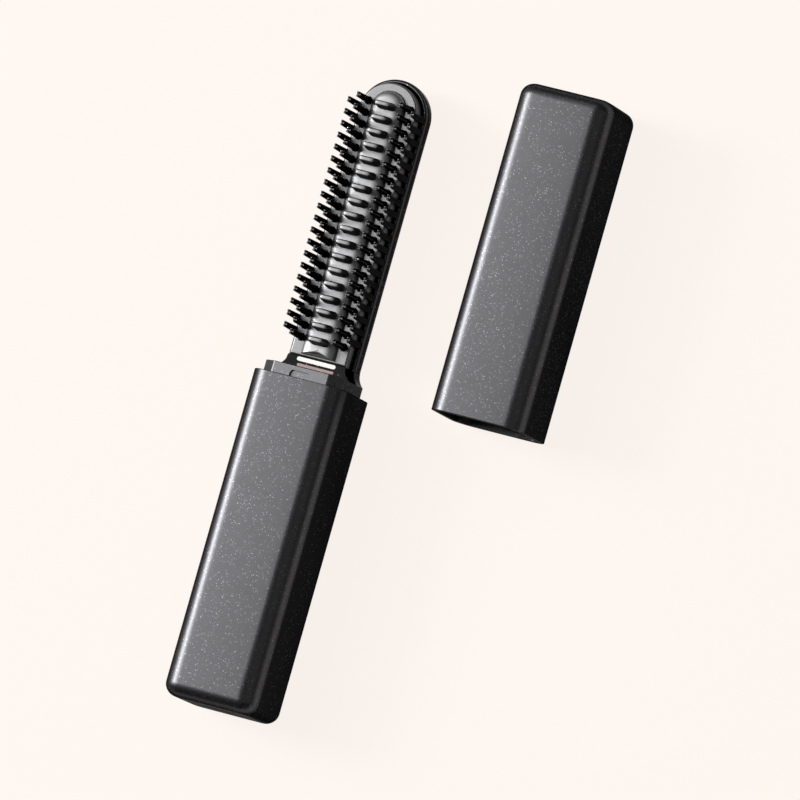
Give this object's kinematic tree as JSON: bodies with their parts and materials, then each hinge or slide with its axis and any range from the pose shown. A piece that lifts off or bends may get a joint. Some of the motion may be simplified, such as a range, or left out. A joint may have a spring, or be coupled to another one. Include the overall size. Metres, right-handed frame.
{
  "type": "hot comb",
  "caption": "Cordless heated comb: square painted handle, finned heat plate between rows of forked teeth, pull-off square cap beside it.",
  "frame": {"origin": "centre of the flat back of the handle, which rests on the table", "axes": "+Z out of the comb's front, +Y along the handle towards the comb's tip, +X towards the cap lying beside it"},
  "size_m": [0.0865, 0.202, 0.03],
  "materials": {
    "shell_paint": "satin charcoal paint with fine glitter, on aluminium",
    "collar_paint": "satin charcoal paint with fine glitter, on aluminium",
    "housing_black": "glossy black heat-resistant plastic",
    "tooth_black": "glossy black nylon",
    "plate_metal": "satin grey coated aluminium",
    "button_black": "satin black plastic",
    "lens_white": "milky diffuser plastic",
    "lip_beige": "warm tinted diffuser plastic",
    "liner_plastic": "matt black heat-resistant plastic",
    "chassis_plastic": "matt dark grey moulding",
    "cell_wrap": "shrink sleeve",
    "nickel": "bright nickel strip",
    "steel": "zinc plated steel",
    "circuit_board": "green solder mask",
    "switch_plastic": "black moulding",
    "foam": "closed-cell foam",
    "ceramic": "white ceramic",
    "fibre_pad": "woven glass fibre",
    "lead_sleeve": "silicone lead sleeve"
  },
  "bodies": {
    "handle": {"handle_shell": "shell_paint", "collar": "collar_paint", "comb_housing": "housing_black", "tooth_frame": "tooth_black", "inner_teeth_left": "tooth_black", "inner_teeth_right": "tooth_black", "heat_plate": "plate_metal", "switch_base": "switch_plastic", "light_bar_lens": "lens_white", "light_bar_lip": "lip_beige", "led_board": "circuit_board", "main_board": "circuit_board", "charge_board": "circuit_board", "charge_socket": "steel", "chassis": "chassis_plastic", "battery_cell": "cell_wrap", "battery_tabs": "nickel", "battery_pad": "foam", "heater_element": "ceramic", "heater_pad": "fibre_pad", "retainer_plate": "steel", "retainer_screws": "steel", "collar_screws": "steel", "head_screws": "steel", "board_screws": "steel", "thermal_fuse": "steel", "thermistor": "ceramic", "heater_leads": "lead_sleeve", "charge_leads": "lead_sleeve"},
    "cap": {"cap_shell": "shell_paint", "cap_liner": "liner_plastic"},
    "button": {"power_button": "button_black", "switch_plunger": "switch_plastic"}
  },
  "joints": [
    {"name": "cap_slide", "type": "slide", "parent": "handle", "child": "cap", "axis": [0, 1, 0], "range_m": [-0.001, 0.114]},
    {"name": "button_press", "type": "slide", "parent": "handle", "child": "button", "axis": [1, 0, 0], "range_m": [0, 0.0006], "stiffness_N_per_m": 3000, "springref_m": -0.0002}
  ]
}
